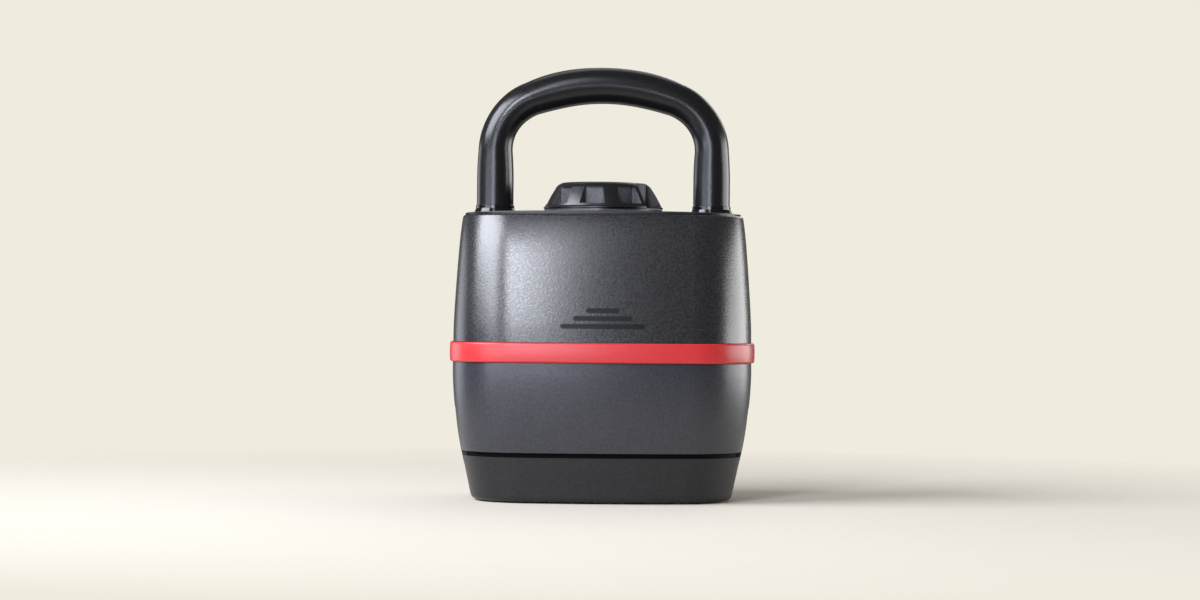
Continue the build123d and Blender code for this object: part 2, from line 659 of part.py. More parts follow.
with BuildPart() as cam_nut:
    with BuildSketch(Plane.XY.offset(NUT_BOTTOM)):
        RegularPolygon(NUT_R, 6)
        Circle(SPINDLE_R + RUNNING_FIT, mode=Mode.SUBTRACT)
    extrude(amount=STACK_BOTTOM + CAM_LOW - NUT_BOTTOM)
save(cam_nut, "cam_nut")

plate_bottom = {}
level = STACK_BOTTOM
for number in (5, 4, 3, 2, 1):
    plate_bottom[number] = level
    level += PLATE_PITCH[number]
STACK_TOP = level

for number, bottom in plate_bottom.items():
    # a dog under each lug for every setting that carries this plate
    carried = SETTINGS - number
    with BuildPart() as selector_cam:
        tube(bottom + CAM_LOW, bottom + CAM_HIGH, CAM_CORE_R)
        for setting in range(carried):
            with BuildSketch(Plane.XY.offset(bottom + DOG_LOW)):
                with PolarLocations(CAM_CORE_R, LUG_COUNT, -SETTING_PITCH * setting):
                    Rectangle(2 * (CAM_DOG_R - CAM_CORE_R), CAM_DOG_WIDTH)
            extrude(amount=DOG_HEIGHT)
        tube(bottom + CAM_LOW, bottom + CAM_HIGH, SPINDLE_R + RUNNING_FIT, mode=Mode.SUBTRACT)
    save(selector_cam, f"selector_cam_{number}")

with BuildPart() as cam_spacers:
    for number in (5, 4, 3, 2):
        spacer_low = plate_bottom[number] + CAM_HIGH
        spacer_high = plate_bottom[number - 1] + CAM_LOW
        tube(spacer_low, spacer_high, SPACER_R, SPINDLE_R + RUNNING_FIT)
    tube(plate_bottom[1] + CAM_HIGH, CHASSIS_BOTTOM - 2.3, SPACER_R, SPINDLE_R + RUNNING_FIT)
save(cam_spacers, "cam_spacers")

with BuildPart() as detent_wheel:
    tube(WHEEL_BOTTOM, WHEEL_TOP, WHEEL_R, SPINDLE_R + RUNNING_FIT)
    with BuildSketch(Plane.XY.offset(WHEEL_BOTTOM)):
        with PolarLocations(WHEEL_R + 1.2, int(360 / SETTING_PITCH)):
            Circle(WHEEL_NOTCH_R)
    extrude(amount=WHEEL_TOP - WHEEL_BOTTOM, mode=Mode.SUBTRACT)
save(detent_wheel, "detent_wheel")

SPRING_WIRE = 0.6
SPRING_R = 4.6
SPRING_PITCH = 2.7
with BuildPart() as lock_spring:
    spring_low = ROD_TOP + SPRING_WIRE
    spring_length = SPINDLE_BORE_TOP - ROD_TOP - 2 * SPRING_WIRE
    with BuildLine(Plane.XY.offset(spring_low)) as coil:
        Helix(SPRING_PITCH, spring_length, SPRING_R)
    with BuildSketch(Plane(origin=coil.line @ 0, z_dir=coil.line % 0)):
        Circle(SPRING_WIRE)
    sweep(is_frenet=True)
save(lock_spring, "lock_spring")

SCREW_HEAD_R = 4.8
SCREW_HEAD_LOW = 226.2
SCREW_HEAD_TOP = 229.6
with BuildPart() as dial_body:
    with BuildSketch(Plane.XZ):
        with BuildLine():
            Polyline(
                (DIAL_TOP_R, DIAL_TOP),
                (CAP_R + FIT, DIAL_TOP),
                (CAP_R + FIT, CAP_BOTTOM),
                (SCREW_HEAD_R + 0.3, CAP_BOTTOM),
                (SCREW_HEAD_R + 0.3, SCREW_HEAD_LOW),
                (STANDOFF_BORE_R, SCREW_HEAD_LOW),
                (STANDOFF_BORE_R, SPINDLE_TOP + 0.1),
                (SPINDLE_R + RUNNING_FIT, SPINDLE_TOP + 0.1),
                (SPINDLE_R + RUNNING_FIT, DIAL_BOTTOM),
                (CAVITY_IN, DIAL_BOTTOM),
                (CAVITY_IN, CAVITY_TOP),
                (CAVITY_OUT, CAVITY_TOP),
                (CAVITY_OUT, DIAL_BOTTOM),
                (DIAL_R, DIAL_BOTTOM),
                (DIAL_R, DIAL_LIP_TOP),
                (DIAL_SIDE_R, DIAL_SIDE_Z),
            )
            side_foot = (DIAL_SIDE_R, DIAL_SIDE_Z)
            shoulder = (DIAL_SHOULDER_R, DIAL_SHOULDER_Z)
            SagittaArc(side_foot, shoulder, -DIAL_SIDE_BOW)
            SagittaArc(shoulder, (DIAL_TOP_R, DIAL_TOP), -DIAL_SHOULDER_BOW)
        make_face()
    revolve(axis=Axis.Z)
    pocket_reach = DIAL_R + 4.0
    pocket_mouth = POCKET_HALF + POCKET_FLARE * (pocket_reach - POCKET_FLOOR_R)
    with BuildSketch(Plane.XY.offset(POCKET_BOTTOM)) as pockets:
        with PolarLocations(0, POCKETS, WINDOW_ANGLE + POCKET_PITCH, POCKETS * POCKET_PITCH):
            Polygon(
                (POCKET_FLOOR_R, -POCKET_HALF),
                (pocket_reach, -pocket_mouth),
                (pocket_reach, pocket_mouth),
                (POCKET_FLOOR_R, POCKET_HALF),
                align=None,
            )
        floor_corners = pockets.vertices().filter_by(
            lambda v: (v.X**2 + v.Y**2) ** 0.5 < POCKET_FLOOR_R + 2
        )
        fillet(floor_corners, POCKET_ROUND)
    extrude(amount=POCKET_TOP - POCKET_BOTTOM, mode=Mode.SUBTRACT)
    with BuildSketch(Plane.XY.offset(DIAL_BOTTOM)):
        with BuildLine():
            window_from = WINDOW_ANGLE - WINDOW_HALF
            inner_arc = CenterArc((0, 0), WINDOW_FLOOR_R, window_from, 2 * WINDOW_HALF)
            outer_arc = CenterArc((0, 0), pocket_reach, window_from, 2 * WINDOW_HALF)
            Line(inner_arc @ 0, outer_arc @ 0)
            Line(inner_arc @ 1, outer_arc @ 1)
        make_face()
    extrude(amount=DIAL_TOP - DIAL_BOTTOM, mode=Mode.SUBTRACT)
save(dial_body, "dial_body")

with BuildPart() as dial_cap:
    tube(CAP_BOTTOM, DIAL_TOP, CAP_R)
    fillet(dial_cap.edges().group_by(Axis.Z)[-1], 0.6)
save(dial_cap, "dial_cap")

with BuildPart() as dial_screw:
    tube(SPINDLE_TOP - 11.0, SCREW_HEAD_LOW, STANDOFF_SCREW_R)
    tube(SCREW_HEAD_LOW, SCREW_HEAD_TOP, SCREW_HEAD_R)
save(dial_screw, "dial_screw")

# =============================== lock ===============================
with BuildPart() as lock_rod:
    tube(STACK_BOTTOM, ROD_TOP, ROD_R)
    with Locations((0, 0, PIN_Z)):
        Cylinder(PIN_R + 0.02, 4 * ROD_R, rotation=(0, 90, 0), mode=Mode.SUBTRACT)
save(lock_rod, "lock_rod")

with BuildPart() as lock_pin:
    with Locations((0, 0, PIN_Z)):
        Cylinder(PIN_R, 2 * PIN_HALF, rotation=(0, 90, 0))
save(lock_pin, "lock_pin")

# =============================== weight plates ===============================
core_w = RIM_HALF_W - RIM_WALL - FIT
core_d = RIM_HALF_D - RIM_WALL - FIT
core_c = RIM_CORNER - RIM_WALL - FIT
with BuildSketch() as core_plan:
    outline(core_plan, core_w, core_d, core_c)
    Circle(HUB_OUT + FIT, mode=Mode.SUBTRACT)
with BuildSketch() as rim_plan:
    outline(rim_plan, RIM_HALF_W, RIM_HALF_D, RIM_CORNER)
    with BuildSketch(mode=Mode.SUBTRACT) as rim_inside:
        outline(rim_inside, RIM_HALF_W - RIM_WALL, RIM_HALF_D - RIM_WALL, RIM_CORNER - RIM_WALL)
core_area = core_plan.sketch.area
rim_area = rim_plan.sketch.area
hub_area = pi * (HUB_OUT**2 - HUB_IN**2)

for number, bottom in plate_bottom.items():
    pitch = PLATE_PITCH[number]
    top = bottom + pitch
    hub_bottom = bottom + RIM_LIP
    hub_top = top - 0.6
    rim_kg = rim_area * pitch * PLASTIC_KG_PER_MM3
    hub_kg = hub_area * (hub_top - hub_bottom) * STEEL_KG_PER_MM3
    core_height = (PLATE_KG[number] - rim_kg - hub_kg) / (core_area * IRON_KG_PER_MM3)

    with BuildPart() as plate_rim:
        slab(bottom, top, RIM_HALF_W, RIM_HALF_D, RIM_CORNER)
        fillet(plate_rim.edges().group_by(Axis.Z)[0] + plate_rim.edges().group_by(Axis.Z)[-1], 1.0)
        slab(
            bottom + RIM_LIP,
            top,
            RIM_HALF_W - RIM_WALL,
            RIM_HALF_D - RIM_WALL,
            RIM_CORNER - RIM_WALL,
            Mode.SUBTRACT,
        )
        ledge = RIM_WALL + 4.0
        slab(
            bottom,
            bottom + RIM_LIP,
            RIM_HALF_W - ledge,
            RIM_HALF_D - ledge,
            RIM_CORNER - ledge,
            Mode.SUBTRACT,
        )
    save(plate_rim, f"plate_{number}_rim")

    with BuildPart() as plate_core:
        slab(bottom + RIM_LIP, bottom + RIM_LIP + core_height, core_w, core_d, core_c)
        tube(bottom, top, HUB_OUT + FIT, mode=Mode.SUBTRACT)
    save(plate_core, f"plate_{number}_iron")

    with BuildPart() as plate_hub:
        tube(hub_bottom, hub_top, HUB_OUT, HUB_IN)
        lug_mid = (LUG_IN + HUB_IN + 1.0) / 2
        with BuildSketch(Plane.XY.offset(bottom + LUG_BOTTOM)):
            with PolarLocations(lug_mid, LUG_COUNT):
                Rectangle(HUB_IN + 1.0 - LUG_IN, LUG_WIDTH)
        extrude(amount=LUG_HEIGHT)
    save(plate_hub, f"plate_{number}_hub")
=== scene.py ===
import math

import bmesh
import bpy
from mathutils import Euler, Matrix, Vector
from mathutils.bvhtree import BVHTree


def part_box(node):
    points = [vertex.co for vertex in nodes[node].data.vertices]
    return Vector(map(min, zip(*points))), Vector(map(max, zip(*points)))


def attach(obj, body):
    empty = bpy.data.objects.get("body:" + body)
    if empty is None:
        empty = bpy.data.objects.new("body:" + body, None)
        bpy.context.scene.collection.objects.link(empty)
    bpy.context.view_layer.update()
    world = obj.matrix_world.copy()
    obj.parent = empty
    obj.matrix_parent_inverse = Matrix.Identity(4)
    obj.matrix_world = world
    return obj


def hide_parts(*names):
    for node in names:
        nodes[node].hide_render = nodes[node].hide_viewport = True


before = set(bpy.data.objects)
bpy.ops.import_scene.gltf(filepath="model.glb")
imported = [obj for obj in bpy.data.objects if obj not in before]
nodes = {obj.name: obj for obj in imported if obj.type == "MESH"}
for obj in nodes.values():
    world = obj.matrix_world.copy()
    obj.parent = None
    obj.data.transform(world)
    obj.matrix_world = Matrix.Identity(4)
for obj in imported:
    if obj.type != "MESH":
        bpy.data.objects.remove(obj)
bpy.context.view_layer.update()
scene = bpy.context.scene
MM = 0.001  # lengths of the object's pieces are in mm until they are multiplied by this


# ------------------------------------------------------------------ materials
NOISE_LOW, NOISE_HIGH = 0.35, 0.65  # most of a noise's values lie between these
GRAIN_DARK_AT, GRAIN_LIGHT_AT = 0.36, 0.66  # noise values with the dark and the light colour
GRAIN_SWAY = 0.08  # share by which the roughness follows the grain
CLOUD_MM = 14.0  # patches in a metal's polish
CLOUD_SWAY = (0.85, 1.2)  # the roughness in them, as shares of the metal's own
STREAK_MM, STREAK_STRENGTH, STREAK_DEPTH_MM = 0.6, 0.25, 0.02
COOL = (0.95, 0.96, 1.1)  # the tint of the black plastics


def new_material(name, color, roughness, metallic=0.0, specular=0.5):
    """A Principled material; returns (material, node tree, shader, coordinates)."""
    mat = bpy.data.materials.new(name)
    mat.use_nodes = True
    tree = mat.node_tree
    shader = tree.nodes["Principled BSDF"]
    shader.inputs["Base Color"].default_value = (*color, 1.0)
    shader.inputs["Roughness"].default_value = roughness
    shader.inputs["Metallic"].default_value = metallic
    shader.inputs["Specular IOR Level"].default_value = specular
    coords = tree.nodes.new("ShaderNodeTexCoord")
    return mat, tree, shader, coords


def noise(tree, coords, size_mm, detail=2.0, rough=0.5):
    """Object-space noise whose features are about size_mm wide."""
    node = tree.nodes.new("ShaderNodeTexNoise")
    node.inputs["Scale"].default_value = 1000.0 / size_mm
    node.inputs["Detail"].default_value = detail
    node.inputs["Roughness"].default_value = rough
    tree.links.new(coords.outputs["Object"], node.inputs["Vector"])
    return node.outputs["Fac"]


def ramp(tree, source, low, high):
    """A colour ramp over a factor, between two ends given by position and colour."""
    node = tree.nodes.new("ShaderNodeValToRGB")
    for end, (position, color) in zip(node.color_ramp.elements, (low, high)):
        end.position = position
        end.color = (*color, 1.0)
    tree.links.new(source, node.inputs["Fac"])
    return node.outputs["Color"]


def spread(tree, source, low, high, from_low=NOISE_LOW, from_high=NOISE_HIGH):
    """Maps a factor onto a range of values."""
    node = tree.nodes.new("ShaderNodeMapRange")
    node.inputs["From Min"].default_value = from_low
    node.inputs["From Max"].default_value = from_high
    node.inputs["To Min"].default_value = low
    node.inputs["To Max"].default_value = high
    tree.links.new(source, node.inputs["Value"])
    return node.outputs["Result"]


def bump(tree, shader, height, strength, depth_mm):
    """Bumps the shader's normal by a height factor."""
    node = tree.nodes.new("ShaderNodeBump")
    node.inputs["Strength"].default_value = strength
    node.inputs["Distance"].default_value = depth_mm * MM
    tree.links.new(height, node.inputs["Height"])
    tree.links.new(node.outputs["Normal"], shader.inputs["Normal"])


def grained(
    name, dark, light, roughness, grain_mm, depth_mm, metallic=0.0, strength=0.6, tint=COOL, specular=0.5
):
    """Moulded, cast or printed surface: dark to light, with an even grain of a width and a depth."""
    dark_color, light_color = (tuple(value * t for t in tint) for value in (dark, light))
    mat, tree, shader, coords = new_material(name, dark_color, roughness, metallic, specular)
    fine = noise(tree, coords, grain_mm, rough=0.6)
    color = ramp(tree, fine, (GRAIN_DARK_AT, dark_color), (GRAIN_LIGHT_AT, light_color))
    tree.links.new(color, shader.inputs["Base Color"])
    low, high = roughness * (1 - GRAIN_SWAY), roughness * (1 + GRAIN_SWAY)
    tree.links.new(spread(tree, fine, low, high), shader.inputs["Roughness"])
    bump(tree, shader, fine, strength, depth_mm)
    return mat


def metal(name, color, roughness):
    """Machined or plated metal with faint uneven polish."""
    mat, tree, shader, coords = new_material(name, color, roughness, 1.0)
    cloud = noise(tree, coords, CLOUD_MM, detail=3.0, rough=0.6)
    low, high = (roughness * share for share in CLOUD_SWAY)
    tree.links.new(spread(tree, cloud, low, high), shader.inputs["Roughness"])
    bump(tree, shader, noise(tree, coords, STREAK_MM), STREAK_STRENGTH, STREAK_DEPTH_MM)
    return mat


# name, dark, light, roughness, grain width and depth in mm
SHELL = grained("shell_charcoal", 0.006, 0.017, 0.28, 1.4, 0.095, strength=0.9, specular=0.74)
# the shell's charcoal, made lighter and bluer on the lower shell: painted light for the light that the lower
# shell catches
LOWER_SHELL_LIT = grained(
    "shell_lower_painted_light", 0.012, 0.023, 0.33, 1.4, 0.085,
    strength=0.85, tint=(0.88, 0.93, 1.3), specular=0.65,
)
BASE = grained(
    "base_black", 0.005, 0.012, 0.4, 1.4, 0.09,
    strength=0.85, tint=(0.93, 0.96, 1.15), specular=0.4,
)
# painted shade: the arms' black, made darker than the tray's to stand in for the gap's shadow beside the
# shell
ARM_SHADE = grained("base_arm_painted_shade", 0.003, 0.006, 0.45, 0.8, 0.03, specular=0.3)
# the seat ring is black, and darker still as painted shade of the gap between the lower shell and the tray
SEAM_SHADE = grained("seat_ring_painted_shade", 0.001, 0.002, 0.8, 0.8, 0.03, specular=0.1)
COVER = grained("cover_black", 0.009, 0.015, 0.36, 0.8, 0.03)
BAND = grained("band_red", 0.42, 0.46, 0.34, 1.6, 0.02, strength=0.3, tint=(1.0, 0.05, 0.055))
GRIP = grained("grip_black", 0.004, 0.008, 0.25, 1.1, 0.036, strength=0.7, specular=0.4)
GLOSS = grained("gloss_black", 0.003, 0.005, 0.12, 2.0, 0.01, strength=0.1, specular=0.4)
DIAL = grained("dial_black", 0.004, 0.008, 0.3, 1.0, 0.05, specular=0.45)
POCKET = grained("dial_pocket_grey", 0.022, 0.06, 0.5, 1.3, 0.1, strength=0.8)
MARK = grained("mark_black", 0.003, 0.004, 0.45, 1.0, 0.01, strength=0.1, specular=0.2)
RUBBER = grained("rubber_black", 0.018, 0.026, 0.75, 1.2, 0.06)
PLASTIC = grained("inner_plastic", 0.03, 0.04, 0.55, 1.0, 0.04)
ACETAL = grained("acetal_white", 0.72, 0.76, 0.38, 2.0, 0.02, strength=0.2, tint=(1.0, 0.985, 0.95))
IRON = grained("cast_iron_black", 0.03, 0.055, 0.62, 1.8, 0.25, metallic=0.3, strength=0.8, tint=(1, 1, 1))
STEEL = metal("zinc_steel", (0.62, 0.62, 0.63), 0.34)
ALUMINIUM = metal("aluminium", (0.78, 0.78, 0.79), 0.36)
BRONZE = metal("bronze", (0.62, 0.42, 0.18), 0.38)

# every CAD node that is not named here, or below by its ending, is steel
LOOKS = {
    SHELL: ["upper_shell"],
    LOWER_SHELL_LIT: ["lower_shell"],
    BASE: ["base_tray"],
    SEAM_SHADE: ["base_seat_ring"],
    COVER: ["cover_plate"],
    BAND: ["band"],
    GRIP: ["handle_grip"],
    GLOSS: ["handle_collars"],
    DIAL: ["dial_body", "dial_cap", "scale_ring"],
    RUBBER: ["base_feet", "cradle_pads"],
    PLASTIC: ["base_cradle", "base_post", "detent_block", "cam_spacers"],
    ACETAL: ["detent_wheel", "thrust_washer"],
    ALUMINIUM: ["standoffs"],
    BRONZE: ["bearing_bush", "rod_bush"],
}
look_of = {node: mat for mat, names in LOOKS.items() for node in names}
for name, obj in nodes.items():
    if name.endswith("_rim"):
        mat = PLASTIC
    elif name.endswith("_iron"):
        mat = IRON
    else:
        mat = look_of.get(name, STEEL)
    obj.data.materials.clear()
    obj.data.materials.append(mat)


def second_material(node, mat, chosen):
    """Gives the node's polygons that the test chooses a second material."""
    mesh = nodes[node].data
    mesh.materials.append(mat)
    for polygon in mesh.polygons:
        if chosen(polygon.center / MM, polygon.normal):
            polygon.material_index = 1


# the arms are coloured darker than the tray they stand on: painted shade for the dark gap between the arms
# and the shell
ARM_HALF_WIDTH = 40
tray_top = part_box("base_seat_ring")[1].z / MM


def on_arm(centre, normal):
    return centre.z > tray_top and abs(centre.y) < ARM_HALF_WIDTH


# the pockets round the dial are a lighter, coarser finish than its rim and top
POCKET_INNER_R, POCKET_OUTER_R = 31.0, 42.5
POCKET_RIM, POCKET_BROW = 2.8, 3.5  # the dial's height below and above its pockets
UPRIGHT, FACES_AXIS = 0.2, -0.8  # limits for a face's normal, up and away from the axis
dial_low, dial_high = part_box("dial_body")
pocket_low = dial_low.z / MM + POCKET_RIM
pocket_high = dial_high.z / MM - POCKET_BROW


def in_pocket(centre, normal):
    radius = math.hypot(centre.x, centre.y)
    outward = (centre.x * normal.x + centre.y * normal.y) / radius
    in_reach = pocket_low < centre.z < pocket_high and POCKET_INNER_R < radius < POCKET_OUTER_R
    upright = abs(normal.z) < UPRIGHT
    faces_axis = outward <= FACES_AXIS
    return in_reach and upright and not faces_axis


second_material("base_tray", ARM_SHADE, on_arm)
second_material("dial_body", POCKET, in_pocket)


# ------------------------------------------------------------------ pieces
BOX_QUADS = [(0, 1, 3, 2), (4, 6, 7, 5), (0, 4, 5, 1), (2, 3, 7, 6), (0, 2, 6, 4), (1, 5, 7, 3)]


def mesh_object(name, verts, faces, mat, smooth=False):
    """An object with a new mesh and one material."""
    mesh = bpy.data.meshes.new(name)
    mesh.from_pydata(verts, [], faces)
    mesh.validate()
    obj = bpy.data.objects.new(name, mesh)
    scene.collection.objects.link(obj)
    obj.data.materials.append(mat)
    if smooth:
        mesh.polygons.foreach_set("use_smooth", [True] * len(mesh.polygons))
    return obj


def boxes(name, frames, mat):
    """Small boxes, each given by a matrix and half sizes, as one object."""
    verts = []
    faces = []
    for matrix, half in frames:
        start = len(verts)
        for sx in (-1, 1):
            for sy in (-1, 1):
                for sz in (-1, 1):
                    verts.append(matrix @ Vector((sx * half[0], sy * half[1], sz * half[2])))
        faces += [tuple(start + i for i in quad) for quad in BOX_QUADS]
    return mesh_object(name, verts, faces, mat)


def edit_mesh(mesh, edit):
    """Runs one bmesh edit on a mesh."""
    bm = bmesh.new()
    bm.from_mesh(mesh)
    edit(bm)
    bm.to_mesh(mesh)
    bm.free()


# grip sleeve: the CAD tube's own line (legs, corner bends, crown), a little flattened where it is bent
LEG_X = 79.7
CORNER_X, CORNER_Z, BEND_R = 38.0, 255.05, 41.7  # a corner bend's centre and radius
CROWN_Z, CROWN_R = 159.1, 144.9  # the crown's centre, which is on the axis, and its radius
GRIP_R, BORE_R = 13.5, 11.5
LEG_STEPS, BEND_STEPS, CROWN_STEPS, SLEEVE_SIDES = 14, 30, 26, 64
FLATTEN = 1.2  # most that the tube's radius loses in the plane of the bend
WIDEN = 0.25  # share of that which it gains across the plane
LEG_FADE = 22.0  # the flattening starts this far below the bend
BEND_SHARE, BEND_MORE, CROWN_SHARE = 0.75, 0.25, 0.8  # shares of FLATTEN along the tube
BEND_RATE, CROWN_RATE = 1.25, 2.2  # BEND_MORE ends 1 / rate along the bend, all of it along the half crown
foot_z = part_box("handle_grip")[0].z / MM
crown_angle = math.atan2(CORNER_Z - CROWN_Z, CORNER_X)  # where the bend meets the crown


def grip_stations():
    """Centre, outward angle and share of flattening along the right half, from the foot to the crown."""
    rows = []
    for i in range(LEG_STEPS):
        z = foot_z + (CORNER_Z - foot_z) * i / LEG_STEPS
        near = max(0.0, 1 - (CORNER_Z - z) / LEG_FADE)
        rows.append((LEG_X, z, 0.0, near * near * BEND_SHARE))
    for i in range(BEND_STEPS):
        t = i / BEND_STEPS
        angle = crown_angle * t
        share = BEND_SHARE + BEND_MORE * math.sin(math.pi * min(1.0, t * BEND_RATE))
        rows.append((CORNER_X + BEND_R * math.cos(angle), CORNER_Z + BEND_R * math.sin(angle), angle, share))
    for i in range(CROWN_STEPS + 1):
        t = i / CROWN_STEPS
        angle = crown_angle + (math.pi / 2 - crown_angle) * t
        fade = max(0.0, 1 - t * CROWN_RATE)
        share = CROWN_SHARE * fade * fade
        rows.append((CROWN_R * math.cos(angle), CROWN_Z + CROWN_R * math.sin(angle), angle, share))
    return rows


def handle_mesh():
    """The sleeve as one closed mesh: an outer and an inner skin, joined at both feet."""
    half = grip_stations()
    full = half + [(-x, z, math.pi - angle, share) for x, z, angle, share in reversed(half[:-1])]
    verts = []
    for radius, flatten in ((GRIP_R, FLATTEN), (BORE_R, 0.0)):
        for x, z, angle, share in full:
            thin = radius - flatten * share
            wide = radius + WIDEN * flatten * share
            for k in range(SLEEVE_SIDES):
                turn = 2 * math.pi * k / SLEEVE_SIDES
                out = thin * math.cos(turn)
                verts.append(
                    Vector((x + out * math.cos(angle), wide * math.sin(turn), z + out * math.sin(angle))) * MM
                )
    inner = len(full) * SLEEVE_SIDES
    faces = []
    for i in range(len(full) - 1):
        for k in range(SLEEVE_SIDES):
            a = i * SLEEVE_SIDES + k
            b = i * SLEEVE_SIDES + (k + 1) % SLEEVE_SIDES
            faces.append((a, a + SLEEVE_SIDES, b + SLEEVE_SIDES, b))
            c = a + inner
            d = b + inner
            faces.append((c, d, d + SLEEVE_SIDES, c + SLEEVE_SIDES))
    for row in (0, len(full) - 1):
        for k in range(SLEEVE_SIDES):
            a = row * SLEEVE_SIDES + k
            b = row * SLEEVE_SIDES + (k + 1) % SLEEVE_SIDES
            ring = (a, b, b + inner, a + inner)
            faces.append(ring if row == 0 else tuple(reversed(ring)))
    return mesh_object("handle_sleeve", verts, faces, GRIP, smooth=True)


sleeve = handle_mesh()
edit_mesh(sleeve.data, lambda bm: bmesh.ops.recalc_face_normals(bm, faces=bm.faces))
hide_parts("handle_grip")
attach(sleeve, "bell")

# scale on the ring under the dial: ticks round its edge, red ones at the front, and the weights on its face
PRINT = grained("print_white", 0.7, 0.74, 0.5, 1.0, 0.01, strength=0.1)
PRINT_FAINT = grained("print_grey", 0.2, 0.24, 0.5, 1.0, 0.01, strength=0.1)
PRINT_RED = grained("print_red", 0.4, 0.44, 0.5, 1.0, 0.01, strength=0.1, tint=(1.0, 0.04, 0.04))
TICKS = 160
TICK_HALF = (0.12 * MM, 0.27 * MM, 0.38 * MM)  # half its depth, width and height
PRINT_LIFT = 0.1  # the ticks are this far above the ring's middle, and the numbers above its top
scale_low, scale_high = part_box("scale_ring")
scale_r = scale_high.x / MM
scale_top = scale_high.z / MM
tick_mid = (scale_low.z / MM + scale_top) / 2 + PRINT_LIFT
grey_ticks = []
red_ticks = []
for i in range(TICKS):
    angle = -math.pi / 2 + 2 * math.pi * i / TICKS
    out = Vector((math.cos(angle), math.sin(angle), 0))
    place = Matrix.Translation(out * scale_r * MM + Vector((0, 0, tick_mid * MM)))
    turn = Matrix.Rotation(angle, 4, "Z")
    home = red_ticks if min(i, TICKS - i) <= 1 else grey_ticks
    home.append((place @ turn, TICK_HALF))
for name, frames, mat in (
    ("scale_ticks", grey_ticks, PRINT_FAINT),
    ("scale_ticks_red", red_ticks, PRINT_RED),
):
    ticks = boxes(name, frames, mat)
    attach(ticks, "bell")

SETTINGS = ["40", "35", "25", "20", "12", "8"]
SETTING_STEP = 45  # degrees between settings
WINDOW_ANGLE = -21.5  # degrees, of the dial's window at rest
NUMBER_SIZE, NUMBER_R, NUMBER_DEPTH = 8.0, 38.2, 0.12  # the depth is half their thickness
WELD = 1e-6  # metres
for step, words in enumerate(SETTINGS):
    curve = bpy.data.curves.new("number", "FONT")
    curve.body = words
    curve.size = NUMBER_SIZE * MM
    curve.align_x = "CENTER"
    curve.align_y = "CENTER"
    curve.extrude = NUMBER_DEPTH * MM
    text = bpy.data.objects.new("number", curve)
    scene.collection.objects.link(text)
    bpy.context.view_layer.update()
    mesh = bpy.data.meshes.new_from_object(text)
    bpy.data.objects.remove(text)
    angle = math.radians(WINDOW_ANGLE + SETTING_STEP * step)
    seat = Vector((math.cos(angle) * NUMBER_R, math.sin(angle) * NUMBER_R, scale_top + PRINT_LIFT)) * MM
    mesh.transform(Matrix.Translation(seat) @ Matrix.Rotation(angle + math.pi / 2, 4, "Z"))
    number = bpy.data.objects.new("scale_number_" + words, mesh)
    scene.collection.objects.link(number)
    number.data.materials.clear()
    number.data.materials.append(PRINT)
    edit_mesh(mesh, lambda bm: bmesh.ops.remove_doubles(bm, verts=bm.verts, dist=WELD))
    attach(number, "bell")


# plain mark on the front of the upper shell: three slim bars like a stack of plates
MARK_LOW = 127.0  # height of the lowest bar
MARK_PITCH = 5.6
MARK_HALF_LENGTHS = (30.0, 21.0, 12.0)
MARK_HALF_HEIGHT = 1.7
MARK_TIP = 0.05  # half height at the very ends
MARK_PROUD = 0.12
MARK_SUNK = 0.15
MARK_STEP = 1.0  # mean length of a bar's faces
IN_FRONT = -200  # y from which the shell is looked for
shell_mesh = nodes["upper_shell"].data
shell_tree = BVHTree.FromPolygons(
    [v.co.copy() for v in shell_mesh.vertices], [tuple(p.vertices) for p in shell_mesh.polygons]
)


def on_shell(x, z, proud):
    """Point on the front of the upper shell at x and z (mm), moved out by proud."""
    spot, normal = shell_tree.ray_cast(Vector((x, IN_FRONT, z)) * MM, Vector((0, 1, 0)))[:2]
    return spot + normal * proud * MM


def mark_bar(name, middle_z, half_length):
    """A round-ended bar that follows the shell."""
    steps = int(2 * half_length / MARK_STEP)
    verts = []
    faces = []
    for i in range(steps + 1):
        turn = math.pi * i / steps
        x = -half_length * math.cos(turn)
        into_end = max(0.0, abs(x) - (half_length - MARK_HALF_HEIGHT))
        half = max(MARK_TIP, math.sqrt(max(0.0, MARK_HALF_HEIGHT**2 - into_end**2)))
        for proud in (MARK_PROUD, -MARK_SUNK):
            verts.append(on_shell(x, middle_z + half, proud))
            verts.append(on_shell(x, middle_z - half, proud))
    for i in range(steps):
        a = 4 * i
        b = a + 4
        faces += [(a, a + 1, b + 1, b), (a + 2, b + 2, b + 3, a + 3)]
        faces += [(a, b, b + 2, a + 2), (a + 1, a + 3, b + 3, b + 1)]
    last = 4 * steps
    faces += [(0, 2, 3, 1), (last, last + 1, last + 3, last + 2)]
    bar = mesh_object(name, verts, faces, MARK)
    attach(bar, "bell")


for row, half_length in enumerate(MARK_HALF_LENGTHS):
    mark_bar("front_mark_" + str(row + 1), MARK_LOW + MARK_PITCH * row, half_length)


# ------------------------------------------------------------------ camera
# in metres, except the two widths in mm
CAMERA_SIDE, CAMERA_DISTANCE, CAMERA_HEIGHT = -0.0019, 2.2, 0.14
AIM_HEIGHT = 0.146
IMAGE_MM = 884.3  # width that the image covers at the object's middle plane
SENSOR_MM = 36.0
ROLL = math.radians(0.44)
cam = bpy.data.cameras.new("camera")
cam.sensor_width = SENSOR_MM
cam.lens = SENSOR_MM * CAMERA_DISTANCE / (IMAGE_MM * MM)
cam_obj = bpy.data.objects.new("camera", cam)
scene.collection.objects.link(cam_obj)
cam_obj.location = (CAMERA_SIDE, -CAMERA_DISTANCE, CAMERA_HEIGHT)
pitch = math.atan2(AIM_HEIGHT - CAMERA_HEIGHT, CAMERA_DISTANCE)
level = Euler((math.radians(90) + pitch, 0, 0)).to_matrix()
cam_obj.rotation_euler = (level @ Matrix.Rotation(ROLL, 3, "Z")).to_euler()
scene.camera = cam_obj


